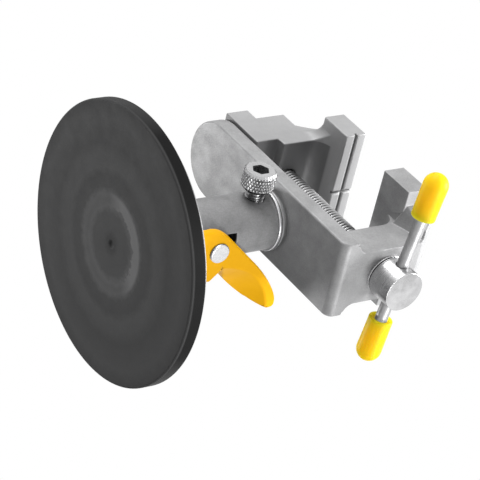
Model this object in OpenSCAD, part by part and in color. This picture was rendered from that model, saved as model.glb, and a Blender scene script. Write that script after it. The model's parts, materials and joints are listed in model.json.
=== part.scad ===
// Suction base vise: a small swivelling bench vise on a lever-operated rubber suction base.
// The origin is the centre of the pad's flat underside, +Z runs up the post,
// and +X runs along the lead screw towards its handle.

/* [Suction pad] */
// Diameter of the rubber pad
pad_d = 70; // [62:1:80]
// Thickness of the pad outside its centre
pad_t = 3.9; // [3.6:0.1:4.6]
// Diameter of the boss on the pad's back
pad_boss_d = 26; // [22:1:30]
// Height of that boss above the pad's back
pad_boss_h = 1.3; // [1:0.1:1.6]
// Diameter of the steel disc moulded into the pad
insert_d = 18; // [13:1:20]
// Thickness of that disc
insert_t = 1.4; // [1:0.1:1.8]
// Rubber left under that disc
insert_cover = 2; // [1.5:0.1:2.2]
// Diameter of the stud on that disc
stud_d = 5; // [4:0.5:5.5]
// How far the stud reaches into the plunger
stud_l = 7; // [5:0.5:9]

/* [Base casting] */
// How far the casting's rim stands in from the edge of the pad
rim_inset = 2.2; // [1:0.1:3]
// Height of the straight rim
rim_h = 1.5; // [1:0.1:2.5]
// Height of the bell from the pad to its flat shoulder
bell_h = 10.6; // [10.2:0.1:13]
// Thickness of the bell's wall
bell_wall = 2.6; // [2:0.1:3.4]
// Diameter of the flat shoulder on top of the bell
shoulder_d = 31; // [28:1:36]
// Height of the bevel between the bell's slope and its shoulder
shoulder_h = 1.5; // [0.8:0.1:2.5]
// Thickness of the steel ring that the lever's cams bear on
cam_ring_t = 1; // [0.6:0.1:1.2]
// Width of that ring from its bore to its edge
cam_ring_w = 6.4; // [5:0.1:7]
// Diameter of the post
post_d = 15.2; // [14.6:0.1:17]
// Height of the post above the shoulder
post_h = 29.5; // [29.2:0.1:34]
// Width of the slots for the lever's pin
slot_w = 5; // [4.5:0.1:6]
// Metal left in the post above those slots, up to the swivel's bore
slot_land = 2; // [1.5:0.1:3]

/* [Plunger] */
// Diameter of the plunger
plunger_d = 8; // [7.5:0.1:8.4]
// Metal of the plunger above the axis of the lever's pin
plunger_top = 5.3; // [4:0.1:5.5]
// Diameter of the plunger's foot
foot_d = 17; // [13:1:20]
// Thickness of that foot
foot_t = 1.2; // [0.8:0.1:2]
// How far the lever lifts the plunger
lift = 2.5; // [1.5:0.1:2.8]
// Wire diameter of the return spring
wire_d = 0.8; // [0.6:0.05:0.9]
// Number of curls of the return spring
spring_turns = 5; // [3:1:6]
// Diameter of the bore that holds the spring
spring_bore_d = 11.4; // [11.2:0.1:11.8]
// Height of that bore's roof above the shoulder
spring_bore_h = 4.6; // [3.5:0.1:5]

/* [Cam lever] */
// Angle of the lever's blade above the bench when released
lever_rise = 46; // [40:1:46]
// Swing of the lever from released to locked
lever_swing = 55; // [45:1:60]
// Distance from the pin to the cam's flat point when released
cam_r = 8.9; // [8.4:0.1:9.1]
// Thickness of each cheek of the lever's fork
cheek_t = 2.3; // [1.8:0.1:3]
// Length of the lever from its pin to its tip
blade_l = 29; // [25:0.1:29]
// Length of the lever from its pin to where its blade starts to narrow
blade_straight = 13; // [10:0.5:15]
// Width of the blade up to there
blade_w = 8.3; // [7:0.1:8.4]
// How far the blade's middle line passes above the pin
blade_set = 0.45; // [0:0.05:0.5]
// Radius of the scoops along both sides of the blade's underside
scoop_r = 28; // [24:1:36]
// Lean of those scoops from upright
scoop_lean = 35; // [25:1:40]
// Distance from the pin to the near end of the scoops
scoop_start = 5.6; // [5:0.1:7]
// Distance from the pin to the highest point of the scoops
scoop_middle = 17; // [15:0.5:19]
// Height of that point above the line through the pin along the blade
scoop_top = 2.4; // [1.5:0.1:2.6]
// Diameter of the lever's pin
pin_d = 4; // [3.4:0.1:4.2]
// Diameter of the pin's flat head
pin_head_d = 5.2; // [5:0.1:7]
// Thickness of the pin's head
pin_head_t = 0.8; // [0.5:0.1:1.5]
// Diameter of the push-on washer that keeps the pin in
retainer_d = 7; // [6:0.1:8]
// Thickness of that washer
retainer_t = 0.7; // [0.4:0.1:1]

/* [Swivel] */
// Diameter of the spigot under the vise frame
spigot_d = 9.8; // [9.2:0.1:10.4]
// Metal of the spigot below the axis of the clamp screw
spigot_tail = 6.2; // [4:0.1:6.4]
// How far the spigot is let into the frame
spigot_seat = 2; // [1:0.1:2.6]
// Width of the groove round the spigot
groove_w = 5.8; // [5.4:0.1:6.5]
// Depth of that groove
groove_h = 0.7; // [0.4:0.1:1]
// Diameter of the screw that holds the spigot to the frame
spigot_screw_d = 4; // [3:0.5:4.5]
// Diameter of that screw's countersunk head
spigot_screw_head_d = 7.4; // [6.5:0.1:8]
// Length of that screw
spigot_screw_l = 12; // [9:0.5:13]
// Diameter of the washer between the post and the frame
thrust_washer_d = 16; // [15:0.1:18]
// Thickness of that washer
thrust_washer_t = 1.5; // [1.2:0.1:2]
// Distance from the top of the post down to the clamp screw
clamp_drop = 4; // [3.6:0.1:5]
// Diameter of the clamp screw
clamp_d = 5; // [4:0.1:5.2]
// Bare length of the clamp screw between the post and its head
clamp_bare = 2.2; // [1:0.1:3.5]
// Diameter of the clamp screw's knurled head
clamp_head_d = 8.5; // [7.5:0.1:9.5]
// Height of that head
clamp_head_h = 5.4; // [4.6:0.1:6]
// Width across the flats of that head's socket
socket_w = 4.3; // [3.5:0.1:4.6]
// Depth of that socket
socket_h = 2.8; // [2:0.1:3]

/* [Vise frame] */
// Distance from the swivel's axis to the frame's round end
frame_back = 37.5; // [36:0.5:44]
// Distance from the swivel's axis to the frame's square end
frame_front = 29.6; // [28:0.1:34]
// Width of the frame's plate
frame_w = 21.2; // [19:0.1:22]
// Thickness of the plate
plate_t = 4.6; // [4:0.1:5.4]
// Radius of the plate's lower edge at the square end
plate_edge_r = 2.4; // [1:0.1:3]
// Diameter of the boss under the plate
frame_boss_d = 13.6; // [12:0.1:14.6]
// Height of that boss
frame_boss_h = 1; // [0.8:0.1:1.6]
// Width of the dovetail rail at its top
rail_w = 10; // [9.4:0.1:10.6]
// Height of the dovetail rail
rail_h = 2.6; // [2.2:0.1:3]
// How far the dovetail's flanks lean in at its foot
rail_lean = 1.2; // [0.6:0.1:1.4]
// Thickness of the end block along the screw
block_t = 9.8; // [9:0.1:11]
// Width of the end block
block_w = 15; // [13.5:0.1:17]
// Height of the lead screw's axis above the plate
axis_h = 10.4; // [9.8:0.1:11.4]

/* [Jaws] */
// Opening between the jaws as shown
jaw_open = 16.4; // [10:0.1:17]
// Width of the jaws
jaw_w = 34; // [31:0.5:40]
// Height of the jaws' clamping faces
jaw_h = 6.2; // [5:0.1:8]
// Height of the jaws' underside above the plate
jaw_rise = 19; // [17.6:0.1:21]
// Thickness of the fixed jaw
fixed_jaw_t = 10.6; // [9.8:0.1:11.4]
// How far the fixed jaw stands in front of the end block
fixed_reach = 9.3; // [8:0.1:9.6]
// Thickness of the moving jaw
moving_jaw_t = 10.1; // [8:0.1:11]
// How far the moving jaw stands in front of its body
moving_reach = 8.8; // [7:0.1:9.4]
// Width of the moving jaw's body
slider_w = 22.2; // [18:0.1:24]
// Length of the moving jaw's body at the height of the screw
slider_l = 13.4; // [12.5:0.1:15]
// Height of the body's upper step above the plate
slider_h = 15.7; // [14.2:0.1:16]
// Length of that step behind the slope of the jaw's back
slider_step = 5.6; // [4:0.1:7]
// How far the body's heel stands out at its back
heel_l = 4.1; // [2:0.1:4.6]
// Height of that heel above the plate
heel_h = 7; // [5.5:0.1:7.2]
// How far the body's toe is set back at its front
toe_l = 2.8; // [1:0.1:4]
// Height of that toe above the plate
toe_h = 7; // [6:0.1:7.2]
// Radius of the hollow under the front of the jaws
front_hollow_r = 4.4; // [3:0.1:5]
// Radius of the hollows between the moving jaw's body and its wings
side_hollow_r = 4.4; // [3:0.1:5.4]
// Width of the grooves across the moving jaw's clamping face
vee_w = 1.2; // [0.6:0.1:1.6]
// How far the gussets behind the fixed jaw reach back from it
gusset_l = 8.2; // [4:0.1:8.4]
// Width over those gussets at the jaw
gusset_w = 26; // [23:0.1:29]
// Width over those gussets at their back end
gusset_end_w = 18.4; // [16:0.1:22]
// How far the gussets start below the jaw's underside, at the front of the end block
gusset_lip = 1.5; // [0.5:0.1:2]
// Rise of the gussets' underside towards their back
gusset_rise = 20; // [10:1:30]
// Rise of the gussets' underside towards the ends of the jaw
gusset_tilt = 15; // [5:1:17]
// Height of the bevel behind the top of the fixed jaw
crown_h = 5.4; // [4:0.1:5.6]
// Length of that bevel
crown_l = 4.3; // [3:0.1:5]

/* [Lead screw] */
// Diameter of the lead screw
screw_d = 6; // [5:0.1:6.4]
// Distance from the swivel's axis to the far end of the screw
screw_end = 33; // [32:0.5:36]
// Diameter of the screw's head
head_d = 10.8; // [9.8:0.1:12]
// Length of the screw's head
head_l = 7.5; // [6.5:0.1:9]
// Thickness of the washer under the head
head_washer_t = 0.6; // [0.4:0.1:1]
// Diameter of the retaining ring behind the end block
ring_d = 9; // [8:0.1:9.8]
// Thickness of the retaining ring
ring_t = 0.8; // [0.5:0.1:1.2]
// Depth of the groove that holds the retaining ring
ring_groove = 0.5; // [0.3:0.1:0.7]

/* [Handle] */
// Diameter of the handle bar
bar_d = 3.2; // [2.6:0.1:3.6]
// Length of the handle over both caps
handle_l = 53.4; // [48:0.1:64]
// How far the handle is slid up from its middle
handle_shift = 4.5; // [0:0.1:4.5]
// Lean of the handle from level
handle_lean = 7.7; // [0:0.1:20]
// Diameter of the end caps
cap_d = 6.4; // [5.4:0.1:6.9]
// Length of the end caps
cap_l = 12.2; // [9:0.1:14]
// Thickness of the caps' closed ends
cap_end = 2.2; // [1.5:0.1:3]

/* [Hidden] */
// Radial clearance of parts that turn or slide in each other
run_clear = 0.05;
// Clearance of parts that are fixed in each other
seat_clear = 0.02;
// Clearance between parts that pass without touching
pass_clear = 0.3;
// Clearance on the flanks and top of the dovetail
rail_clear = 0.3;
// Overrun of cuts past the metal they cut
over = 1;
$fn = 64;

// Heights up the post
shoulder_z = pad_t + bell_h;
cam_floor_z = shoulder_z + cam_ring_t;
pin_z = cam_floor_z + pass_clear + cam_r;
post_top_z = shoulder_z + post_h;
boss_z = pad_t + pad_boss_h;
foot_z = boss_z + run_clear;
spring_z = foot_z + foot_t + seat_clear;
spring_roof_z = shoulder_z + spring_bore_h;
plunger_top_z = pin_z + plunger_top;
slot_foot_z = pin_z - slot_w / 2 - pass_clear;
clamp_z = post_top_z - clamp_drop;
spigot_foot_z = clamp_z - spigot_tail;
spigot_bore_z = spigot_foot_z - pass_clear;
slot_top_z = spigot_bore_z - slot_land;

// Heights of the vise frame
washer_top_z = post_top_z + thrust_washer_t;
frame_boss_z = washer_top_z + run_clear;
plate_z = frame_boss_z + frame_boss_h;
plate_top_z = plate_z + plate_t;
rail_top_z = plate_top_z + rail_h;
axis_z = plate_top_z + axis_h;
jaw_foot_z = plate_top_z + jaw_rise;
jaw_top_z = jaw_foot_z + jaw_h;
slider_z = plate_top_z + pass_clear;

// Places along the lead screw
block_x = frame_front - block_t;
fixed_face_x = block_x - fixed_reach;
fixed_back_x = fixed_face_x + fixed_jaw_t;
moving_face_x = fixed_face_x - jaw_open;
moving_back_x = moving_face_x - moving_jaw_t;
slider_x = moving_face_x - moving_reach;
slider_back_x = slider_x - slider_l;
heel_x = slider_back_x - heel_l;
toe_x = slider_x - toe_l;
head_x = frame_front + head_washer_t + run_clear;
handle_x = head_x + head_l / 2;

// Radii
pad_r = pad_d / 2;
rim_r = pad_r - rim_inset;
post_r = post_d / 2;
spigot_r = spigot_d / 2;
plunger_r = plunger_d / 2;
screw_r = screw_d / 2;

// The lever's fork: inner and outer faces of its cheeks
fork_x = post_r + pass_clear;
lever_x = fork_x + cheek_t;
// Rise of the cam for each degree of swing, and for each radian
cam_rate = lift / lever_swing;
cam_offset = cam_rate * 180 / PI;
cam_steps = 11;
tip_steps = 24;
// Outline of the lever's cheek behind and in front of the cam, in cam radii from the pin
cheek_back_shares = [
  [-0.42, -0.93], [-0.66, -0.62], [-0.68, -0.3], [-0.65, -0.12], [-0.59, 0.03], [-0.5, 0.17],
  [-0.4, 0.3]
];
cheek_front_shares = [[0.59, 0.26], [1, 0.15], [0.97, -0.19]];

// Return spring
spring_r = (spring_bore_d / 2 + plunger_r + run_clear) / 2;
curl_rings = 8;
wire_sides = 6;
bend_steps = 3;
spring_top_z = spring_roof_z - seat_clear;

function flat(lists) = [for (part = lists) for (item = part) item];
// Quarter bend of the wire from upright to level: distance along the curl, height, slope
function bend(i) = let (a = 90 * i / bend_steps) [wire_d * (1 - cos(a)), wire_d * sin(a), a];
spring_rise = spring_top_z - spring_z - 4 * wire_d;
spring_sweep = 360 * spring_turns;
bend_sweep = wire_d / spring_r * 180 / PI;
// Each ring of the wire: angle round the spring, height and slope from upright
spring_rings = flat([
  [[0, spring_z, 0]],
  [for (i = [0:bend_steps])
    let (b = bend(i)) [bend_sweep * b[0] / wire_d, spring_z + wire_d + b[1], b[2]]],
  [for (i = [1:curl_rings * spring_turns - 1])
    let (s = i / (curl_rings * spring_turns))
    [bend_sweep + spring_sweep * s, spring_z + 2 * wire_d + spring_rise * s, 90]],
  [for (i = [bend_steps:-1:0])
    let (b = bend(i))
    [2 * bend_sweep + spring_sweep - bend_sweep * b[0] / wire_d,
     spring_top_z - wire_d - b[1], b[2]]],
  [[2 * bend_sweep + spring_sweep, spring_top_z, 0]]
]);
function on_wire(ring, turn) =
  let (
    a = ring[0],
    radial = [cos(a), sin(a), 0],
    along = [-sin(a) * sin(ring[2]), cos(a) * sin(ring[2]), cos(ring[2])],
    side = cross(along, radial)
  )
  spring_r * radial + [0, 0, ring[1]]
  + wire_d / 2 * (cos(turn) * radial + sin(turn) * side);
function wire_centre(ring) = [spring_r * cos(ring[0]), spring_r * sin(ring[0]), ring[1]];
spring_gap = min([
  for (a = spring_rings) for (b = spring_rings)
    if (b[0] - a[0] > 180) norm(wire_centre(a) - wire_centre(b)) - wire_d
]);
echo(spring_gap = spring_gap);

// Solid of revolution about Z from a profile drawn in radius and height
module turned(points) rotate_extrude() polygon(points);
// Round bar along +X that starts at x
module bar_x(r, x, length) translate([x, 0, 0]) rotate([0, 90, 0]) cylinder(r = r, h = length);
// Outline drawn in X and Z, made as wide as given and centred on Y
module side_cut(width)
  translate([0, width / 2, 0]) rotate([90, 0, 0]) linear_extrude(height = width) children();
// Outline drawn in Y and Z, from x along +X
module end_cut(x, length)
  translate([x, 0, 0]) rotate([90, 0, 90]) linear_extrude(height = length) children();

module suction_pad()
  color("#3d3d3f")
  difference() {
    union() {
      cylinder(r = pad_r, h = pad_t);
      cylinder(d = pad_boss_d, h = boss_z);
    }
    translate([0, 0, insert_cover - run_clear])
      cylinder(r = insert_d / 2 + run_clear, h = insert_t + 2 * run_clear);
    translate([0, 0, insert_cover]) cylinder(r = stud_d / 2 + run_clear, h = boss_z);
  }

module pad_insert()
  color("#9a9a9c")
  translate([0, 0, insert_cover])
  union() {
    cylinder(d = insert_d, h = insert_t);
    cylinder(d = stud_d, h = foot_z + stud_l - insert_cover);
  }

module bell_profile()
  polygon([
    [0, pad_t], [rim_r, pad_t], [rim_r, pad_t + rim_h],
    [shoulder_d / 2, shoulder_z - shoulder_h], [shoulder_d / 2 - shoulder_h, shoulder_z],
    [0, shoulder_z]
  ]);

module base_casting()
  color("#b4b6b8")
  difference() {
    union() {
      rotate_extrude() bell_profile();
      cylinder(r = post_r, h = post_top_z);
    }
    translate([0, 0, -over]) cylinder(r = rim_r + over, h = pad_t + over);
    turned([
      [0, pad_t - over], [rim_r - bell_wall, pad_t - over], [rim_r - bell_wall, pad_t],
      [shoulder_d / 2 - bell_wall, shoulder_z - shoulder_h - bell_wall],
      [0, shoulder_z - shoulder_h - bell_wall]
    ]);
    cylinder(d = spring_bore_d, h = spring_roof_z);
    cylinder(r = plunger_r + run_clear, h = post_top_z);
    translate([0, 0, spigot_bore_z]) cylinder(r = spigot_r + run_clear, h = post_top_z);
    translate([-post_d / 2 - over, -slot_w / 2, slot_foot_z])
      cube([post_d + 2 * over, slot_w, slot_top_z - slot_foot_z]);
    translate([0, 0, clamp_z]) rotate([90, 0, 0])
      cylinder(r = clamp_d / 2 + run_clear, h = post_d);
  }

module cam_ring()
  color("#c9cacc")
  translate([0, 0, shoulder_z])
  difference() {
    cylinder(r = post_r + seat_clear + cam_ring_w, h = cam_ring_t);
    translate([0, 0, -over]) cylinder(r = post_r + seat_clear, h = cam_ring_t + 2 * over);
  }

module plunger_rod()
  color("#a7a8aa")
  difference() {
    union() {
      translate([0, 0, foot_z]) cylinder(d = foot_d, h = foot_t);
      translate([0, 0, foot_z]) cylinder(r = plunger_r, h = plunger_top_z - foot_z);
    }
    cylinder(r = stud_d / 2 + seat_clear, h = foot_z + stud_l + seat_clear);
    translate([0, 0, pin_z]) bar_x(pin_d / 2 + seat_clear, -plunger_d, 2 * plunger_d);
  }

module return_spring()
  color("#8d8f92")
  polyhedron(
    points = flat([for (ring = spring_rings)
      [for (k = [0:wire_sides - 1]) on_wire(ring, 360 * k / wire_sides)]]),
    faces = let (rings = len(spring_rings), n = wire_sides) flat([
      [for (k = [1:n - 2]) [0, k, k + 1]],
      flat([for (r = [0:rings - 2]) flat([for (k = [0:n - 1])
        let (a = r * n + k, b = r * n + (k + 1) % n)
        [[a, a + n, b], [b, a + n, b + n]]])]),
      [for (k = [1:n - 2]) let (e = (rings - 1) * n) [e, e + k + 1, e + k]]
    ])
  );

// Cam whose distance from the pin grows evenly with the swing, as a flat floor feels it
function cam_point(a) =
  (cam_r + cam_rate * a) * [sin(a), -cos(a)] + cam_offset * [cos(a), sin(a)];

// Point of the lever's side given along the blade and across it
function blade_point(u, t) =
  u * [cos(lever_rise), sin(lever_rise)] + t * [-sin(lever_rise), cos(lever_rise)];
// Point of the blade's half-elliptic end at an angle from the blade's middle line
function tip_point(a) = blade_point(
  blade_straight + (blade_l - blade_straight) * cos(a), blade_set + blade_w / 2 * sin(a)
);

module lever_outline()
  polygon(flat([
    [for (i = [0:cam_steps]) cam_point(lever_swing * (cam_steps - i) / cam_steps)],
    cam_r * cheek_back_shares,
    [for (i = [0:tip_steps]) tip_point(90 * (1 - 2 * i / tip_steps))],
    cam_r * cheek_front_shares
  ]));

// Room that the lever's fork leaves round the post, which stands upright through the pin
module post_room() {
  translate([-fork_x, -2 * cam_r, -2 * cam_r]) cube([2 * fork_x, 2 * cam_r, 2 * cam_r + 2 * blade_l]);
  translate([0, 0, -2 * cam_r]) cylinder(r = fork_x, h = 2 * cam_r + 2 * blade_l);
}

module cam_lever()
  color("#f5b81c")
  translate([0, 0, pin_z])
  difference() {
    end_cut(-lever_x, 2 * lever_x) lever_outline();
    // The post as the released lever meets it, and as the locked one does
    post_room();
    rotate([lever_swing, 0, 0]) post_room();
    for (side = [0, 1]) mirror([side, 0, 0]) rotate([lever_rise, 0, 0])
      intersection() {
        translate([lever_x, scoop_middle, scoop_top]) rotate([0, scoop_lean, 0])
          translate([scoop_r, 0, 0]) cylinder(r = scoop_r, h = 4 * blade_w, center = true);
        translate([0, scoop_start, -blade_l]) cube([2 * lever_x, blade_l, 2 * blade_l]);
      }
    bar_x(pin_d / 2 + run_clear, -2 * lever_x, 4 * lever_x);
  }

module lever_pin()
  color("#d4d5d7")
  translate([0, 0, pin_z])
  union() {
    bar_x(pin_d / 2, -lever_x - run_clear - retainer_t - pin_head_t,
      2 * (lever_x + run_clear) + retainer_t + 2 * pin_head_t);
    bar_x(pin_head_d / 2, lever_x + run_clear, pin_head_t);
  }

module pin_retainer()
  color("#77797c")
  translate([0, 0, pin_z])
  difference() {
    bar_x(retainer_d / 2, -lever_x - run_clear - retainer_t, retainer_t);
    bar_x(pin_d / 2 + seat_clear, -2 * lever_x, 2 * lever_x);
  }

module thrust_washer()
  color("#d9dadc")
  translate([0, 0, post_top_z])
  difference() {
    cylinder(d = thrust_washer_d, h = thrust_washer_t);
    translate([0, 0, -over]) cylinder(r = spigot_r + run_clear, h = thrust_washer_t + 2 * over);
  }

module swivel_spigot()
  color("#b9babc")
  difference() {
    translate([0, 0, spigot_foot_z]) cylinder(r = spigot_r, h = plate_z + spigot_seat - spigot_foot_z);
    translate([0, 0, clamp_z - groove_w / 2]) difference() {
      cylinder(r = spigot_r + over, h = groove_w);
      translate([0, 0, -over]) cylinder(r = spigot_r - groove_h, h = groove_w + 2 * over);
    }
    translate([0, 0, rail_top_z - spigot_screw_l - pass_clear])
      cylinder(r = spigot_screw_d / 2 + seat_clear, h = spigot_screw_l);
  }

// Countersunk screw with its head's flat at z, made larger all round by gap
module countersunk(z, gap) {
  head_r = spigot_screw_head_d / 2;
  head_h = head_r - spigot_screw_d / 2;
  translate([0, 0, z]) turned([
    [0, 0], [head_r + gap, 0], [spigot_screw_d / 2 + gap, -head_h],
    [spigot_screw_d / 2 + gap, -spigot_screw_l], [0, -spigot_screw_l]
  ]);
}

module spigot_screw()
  color("#8a8c8f")
  difference() {
    countersunk(rail_top_z - pass_clear, 0);
    translate([0, 0, rail_top_z - pass_clear - spigot_screw_d / 2])
      cylinder(d = spigot_screw_d * 0.72, h = spigot_screw_d, $fn = 6);
  }

clamp_tip_y = spigot_r - groove_h + pass_clear;
clamp_head_y = post_r + clamp_bare;
module clamp_screw()
  color("#cfd0d2")
  translate([0, 0, clamp_z]) rotate([90, 0, 0])
  difference() {
    union() {
      translate([0, 0, clamp_tip_y]) cylinder(d = clamp_d, h = clamp_head_y - clamp_tip_y + over);
      translate([0, 0, clamp_head_y]) cylinder(d = clamp_head_d, h = clamp_head_h);
    }
    translate([0, 0, clamp_head_y + clamp_head_h - socket_h])
      cylinder(d = socket_w / cos(30), h = socket_h + over, $fn = 6);
  }

// Section across the dovetail rail, wider all round by gap
module rail_section(gap)
  polygon([
    [-rail_w / 2 + rail_lean - gap, plate_top_z - over],
    [-rail_w / 2 + rail_lean - gap, plate_top_z],
    [-rail_w / 2 - gap, rail_top_z + gap],
    [rail_w / 2 + gap, rail_top_z + gap],
    [rail_w / 2 - rail_lean + gap, plate_top_z],
    [rail_w / 2 - rail_lean + gap, plate_top_z - over]
  ]);

// Corner between two straight walls at the origin, filled by a hollow of radius r
module hollow_corner(r)
  difference() {
    translate([-r / 2, -r / 2]) square(1.5 * r);
    translate([r, r]) circle(r = r);
    translate([-r, -r]) square([3 * r, r]);
    translate([-r, -r]) square([r, 3 * r]);
  }

// Square plate outline with a round end, seen from above
module plate_outline() {
  translate([frame_w / 2 - frame_back, -frame_w / 2])
    square([frame_back - frame_w / 2 + frame_front, frame_w]);
  translate([frame_w / 2 - frame_back, 0]) circle(d = frame_w);
}

module frame_plate()
  intersection() {
    translate([0, 0, plate_z]) linear_extrude(height = plate_t) plate_outline();
    side_cut(2 * frame_w) difference() {
      translate([-2 * frame_back, plate_z]) square([2 * frame_back + frame_front, plate_t]);
      translate([frame_front, plate_z]) rotate(90) hollow_corner(plate_edge_r);
    }
  }

// Side of the block at the square end, with a bevel behind its top
module block_side()
  polygon([
    [block_x, plate_top_z - over], [frame_front, plate_top_z - over],
    [frame_front, jaw_top_z - crown_h], [frame_front - crown_l, jaw_top_z],
    [block_x, jaw_top_z]
  ]);

// Block at the square end, with hollows under the jaw and beside its foot
module end_block() {
  side_cut(block_w) {
    block_side();
    translate([block_x, jaw_foot_z]) rotate(180) hollow_corner(front_hollow_r);
  }
  for (side = [0, 1]) mirror([0, side, 0])
    end_cut(block_x, block_t)
      translate([block_w / 2, plate_top_z]) hollow_corner((frame_w - block_w) / 2);
}

// Jaw bar behind the fixed clamping face, with the gussets that join it to the block
module fixed_jaw() {
  translate([fixed_face_x, -jaw_w / 2, jaw_foot_z]) cube([fixed_jaw_t, jaw_w, jaw_h]);
  difference() {
    intersection() {
      linear_extrude(height = 2 * jaw_top_z) polygon([
        [block_x, -block_w / 2], [fixed_back_x, -gusset_w / 2],
        [fixed_back_x + gusset_l, -gusset_end_w / 2], [fixed_back_x + gusset_l, gusset_end_w / 2],
        [fixed_back_x, gusset_w / 2], [block_x, block_w / 2]
      ]);
      side_cut(jaw_w) block_side();
    }
    for (side = [0, 1]) mirror([0, side, 0])
      translate([block_x, block_w / 2, jaw_foot_z - gusset_lip])
      rotate([0, -gusset_rise, 0]) rotate([gusset_tilt, 0, 0])
      translate([-jaw_w, -jaw_w, -2 * jaw_w]) cube(2 * jaw_w);
  }
}

// Grooves, one level and one upright, across a clamping face at x
module vee_grooves(x)
  translate([x, 0, 0]) {
    translate([0, 0, jaw_foot_z + jaw_h / 2]) rotate([0, 45, 0])
      cube([vee_w / sqrt(2), 2 * jaw_w, vee_w / sqrt(2)], center = true);
    translate([0, 0, jaw_foot_z + jaw_h / 2]) rotate([0, 0, 45])
      cube([vee_w / sqrt(2), vee_w / sqrt(2), 2 * jaw_h], center = true);
  }

module vise_frame()
  color("#b0b2b5")
  difference() {
    union() {
      frame_plate();
      translate([0, 0, frame_boss_z]) cylinder(d = frame_boss_d, h = frame_boss_h + plate_t / 2);
      end_cut(frame_w / 2 - frame_back, frame_back - frame_w / 2 + block_x + block_t / 2)
        rail_section(0);
      end_block();
      fixed_jaw();
    }
    translate([0, 0, frame_boss_z - over])
      cylinder(r = spigot_r + seat_clear, h = plate_z + spigot_seat + over - frame_boss_z);
    countersunk(rail_top_z - pass_clear, seat_clear);
    translate([0, 0, rail_top_z - pass_clear])
      cylinder(r = spigot_screw_head_d / 2 + seat_clear, h = pass_clear + over);
    translate([0, 0, axis_z]) {
      bar_x(screw_r + run_clear, 0, 2 * frame_front);
      bar_x(ring_d / 2 + pass_clear, block_x - block_t, block_t);
    }
  }

// Outline of the moving jaw seen from the side
module jaw_side() {
  polygon([
    [heel_x, slider_z], [toe_x, slider_z], [toe_x, plate_top_z + toe_h],
    [slider_x, plate_top_z + toe_h], [slider_x, jaw_foot_z], [moving_face_x, jaw_foot_z],
    [moving_face_x, jaw_top_z], [moving_back_x, jaw_top_z],
    [slider_back_x + slider_step, plate_top_z + slider_h],
    [slider_back_x, plate_top_z + slider_h], [slider_back_x, plate_top_z + heel_h],
    [heel_x, plate_top_z + heel_h]
  ]);
  translate([slider_x, jaw_foot_z]) mirror([0, 1]) hollow_corner(front_hollow_r);
}

// Outline of the moving jaw seen from its end
module jaw_front() {
  translate([-slider_w / 2, slider_z]) square([slider_w, jaw_top_z - slider_z]);
  translate([-jaw_w / 2, jaw_foot_z]) square([jaw_w, jaw_h]);
  for (side = [0, 1]) mirror([side, 0])
    translate([slider_w / 2, jaw_foot_z]) mirror([0, 1]) hollow_corner(side_hollow_r);
}

// Outline of the moving jaw seen from above
module jaw_plan() {
  translate([heel_x, -slider_w / 2]) square([moving_face_x - heel_x, slider_w]);
  translate([moving_back_x, -jaw_w / 2]) square([moving_jaw_t, jaw_w]);
  for (side = [0, 1]) mirror([0, side])
    translate([moving_back_x, slider_w / 2]) mirror([1, 0]) hollow_corner(side_hollow_r);
}

module moving_jaw()
  color("#a9abae")
  difference() {
    intersection() {
      side_cut(2 * jaw_w) jaw_side();
      end_cut(2 * heel_x, -3 * heel_x) jaw_front();
      linear_extrude(height = 2 * jaw_top_z) jaw_plan();
    }
    end_cut(2 * heel_x, -4 * heel_x) rail_section(rail_clear);
    vee_grooves(moving_face_x);
    translate([0, 0, axis_z]) bar_x(screw_r + run_clear, 2 * heel_x, -4 * heel_x);
  }

// Places what is drawn along +Z along the handle, with zero at the middle of the screw's head
module along_handle()
  translate([handle_x, 0, axis_z]) rotate([90 - handle_lean, 0, 0]) children();

module lead_screw()
  color("#c4c5c8")
  difference() {
    translate([0, 0, axis_z]) {
      bar_x(screw_r, -screw_end, screw_end + head_x + over);
      bar_x(head_d / 2, head_x, head_l);
    }
    translate([0, 0, axis_z]) difference() {
      bar_x(screw_r + over, block_x - pass_clear - ring_t - seat_clear, ring_t + 2 * seat_clear);
      bar_x(screw_r - ring_groove, block_x - block_t, 2 * block_t);
    }
    along_handle() translate([0, 0, -head_d]) cylinder(r = bar_d / 2 + run_clear, h = 2 * head_d);
  }

module head_washer()
  color("#bfc0c2")
  translate([0, 0, axis_z])
  difference() {
    bar_x(head_d / 2, frame_front, head_washer_t);
    bar_x(screw_r + run_clear, 0, 2 * frame_front);
  }

module screw_circlip()
  color("#6c6e71")
  translate([0, 0, axis_z])
  difference() {
    bar_x(ring_d / 2, block_x - pass_clear - ring_t, ring_t);
    bar_x(screw_r - ring_groove + seat_clear, 0, 2 * frame_front);
    translate([0, -screw_r * 0.7, -ring_d]) cube([2 * frame_front, screw_r * 1.4, ring_d]);
  }

module tommy_bar()
  color("#c2c3c5")
  along_handle() translate([0, 0, handle_shift - handle_l / 2 + cap_end])
  cylinder(d = bar_d, h = handle_l - 2 * cap_end);

// Rubber cap with a domed end, its open end down and its dome's top at zero
module bar_cap()
  difference() {
    rotate_extrude() intersection() {
      union() {
        translate([0, -cap_d / 2]) circle(d = cap_d);
        translate([0, -cap_l]) square([cap_d / 2, cap_l - cap_d / 2]);
      }
      translate([0, -cap_l]) square([cap_d, cap_l + over]);
    }
    translate([0, 0, -cap_l - over])
      cylinder(r = bar_d / 2 + seat_clear, h = cap_l - cap_end + over + seat_clear);
  }

module bar_cap_upper()
  color("#fdd01f")
  along_handle() translate([0, 0, handle_shift + handle_l / 2]) bar_cap();

module bar_cap_lower()
  color("#fdd01f")
  along_handle() translate([0, 0, handle_shift - handle_l / 2]) mirror([0, 0, 1]) bar_cap();

suction_pad();
pad_insert();
base_casting();
cam_ring();
plunger_rod();
return_spring();
cam_lever();
lever_pin();
pin_retainer();
thrust_washer();
swivel_spigot();
spigot_screw();
clamp_screw();
vise_frame();
moving_jaw();
lead_screw();
head_washer();
screw_circlip();
tommy_bar();
bar_cap_upper();
bar_cap_lower();
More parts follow.
